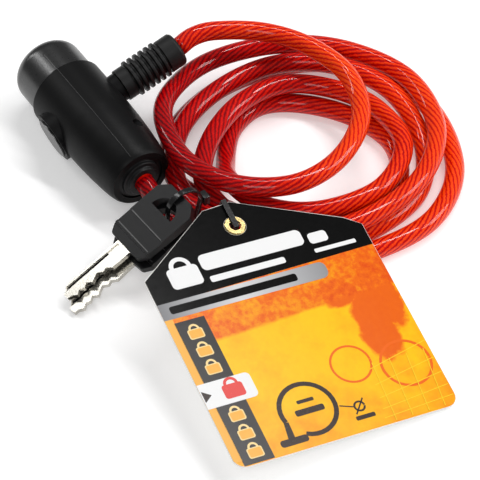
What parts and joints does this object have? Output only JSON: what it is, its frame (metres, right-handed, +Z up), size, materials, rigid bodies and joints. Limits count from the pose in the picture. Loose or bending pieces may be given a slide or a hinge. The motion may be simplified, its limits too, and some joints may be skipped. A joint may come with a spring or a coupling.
{
  "type": "cable lock",
  "caption": "Keyed bicycle cable lock: barrel-shaped locking head, side-entry plug with ribbed boot, red vinyl-covered cable in a loose coil, tied keys and a hang tag.",
  "frame": {"origin": "on the surface the lock lies on, under the middle of the locking head's footprint", "axes": "+X along the head's barrel from the key end to the cable mouth, +Z up; the plug leaves towards +Y, tilted 15 degrees up"},
  "size_m": [0.2306, 0.1838, 0.0351],
  "materials": {
    "black_housing": "fine-textured satin black moulding",
    "screw_steel": "dull zinc-plated steel",
    "black_button": "satin black moulding",
    "black_cap": "semi-gloss black moulding",
    "zinc": "die-cast zinc",
    "brass_plug": "turned brass",
    "spring_steel": "spring wire",
    "bright_steel": "bright plated steel",
    "black_bushing": "black moulded rubber",
    "red_vinyl": "clear red vinyl over twisted steel strands",
    "black_boot": "matte black moulded rubber",
    "key_plastic": "satin black key bow",
    "nickel_key": "nickel-plated brass with bare cuts",
    "black_tie": "gloss black nylon",
    "printed_card": "gloss-laminated printed card",
    "brass_eyelet": "bright brass"
  },
  "bodies": {
    "head": {"housing_left": "black_housing", "housing_right": "black_housing", "housing_screws": "screw_steel", "bracket_button": "black_button", "end_cap": "black_cap", "lock_body": "zinc", "socket_collar": "black_housing", "cable_bushing": "black_bushing", "fixed_ferrule": "bright_steel", "fixed_cable_end": "red_vinyl", "anchor_pin": "bright_steel", "cable_lead": "red_vinyl", "cable_coil": "red_vinyl", "cable_last_turn": "red_vinyl", "key_tie": "black_tie", "key_tie_head": "black_tie"},
    "cylinder": {"key_plug": "brass_plug", "wafers": "brass_plug", "wafer_springs": "spring_steel", "cam": "bright_steel"},
    "bolt": {"locking_bolt": "bright_steel"},
    "plug": {"latch_pin": "bright_steel", "plug_cable_end": "red_vinyl", "boot": "black_boot"},
    "key_1": {"key_1_bow": "key_plastic", "key_1_blade": "nickel_key"},
    "key_2": {"key_2_bow": "key_plastic", "key_2_blade": "nickel_key"},
    "tag": {"hang_tag": "printed_card", "eyelet": "brass_eyelet", "tag_tie": "black_tie"}
  },
  "joints": [
    {"name": "plug_pull", "type": "slide", "parent": "head", "child": "plug", "axis": [0, 0.9659, 0.2588], "range_m": [0, 0.026], "deforming": ["cable_lead"]},
    {"name": "key_turn", "type": "hinge", "parent": "head", "child": "cylinder", "pos_m": [-0.0268, 0, 0.0162], "axis": [1, 0, 0], "range_deg": [0, 90]},
    {"name": "bolt_throw", "type": "slide", "parent": "head", "child": "bolt", "axis": [1, 0, 0], "range_m": [0, 0.0014]},
    {"name": "key_1_swing", "type": "hinge", "parent": "head", "child": "key_1", "pos_m": [0.0649, -0.004, 0.024], "axis": [0.0196, -0.3741, 0.9272], "range_deg": [-15, 10]},
    {"name": "key_2_swing", "type": "hinge", "parent": "head", "child": "key_2", "pos_m": [0.0649, -0.004, 0.0182], "axis": [0.0509, -0.3216, 0.9455], "range_deg": [-15, 5]},
    {"name": "tag_swing", "type": "hinge", "parent": "head", "child": "tag", "pos_m": [0.08675, 0.01317, 0.02483], "axis": [0.1949, 0.0947, 0.9762], "range_deg": [-1.5, 5.5]}
  ],
  "couplings": [
    {"joint": "bolt_throw", "follows": "key_turn", "m_per_rad": 0.0008913}
  ]
}
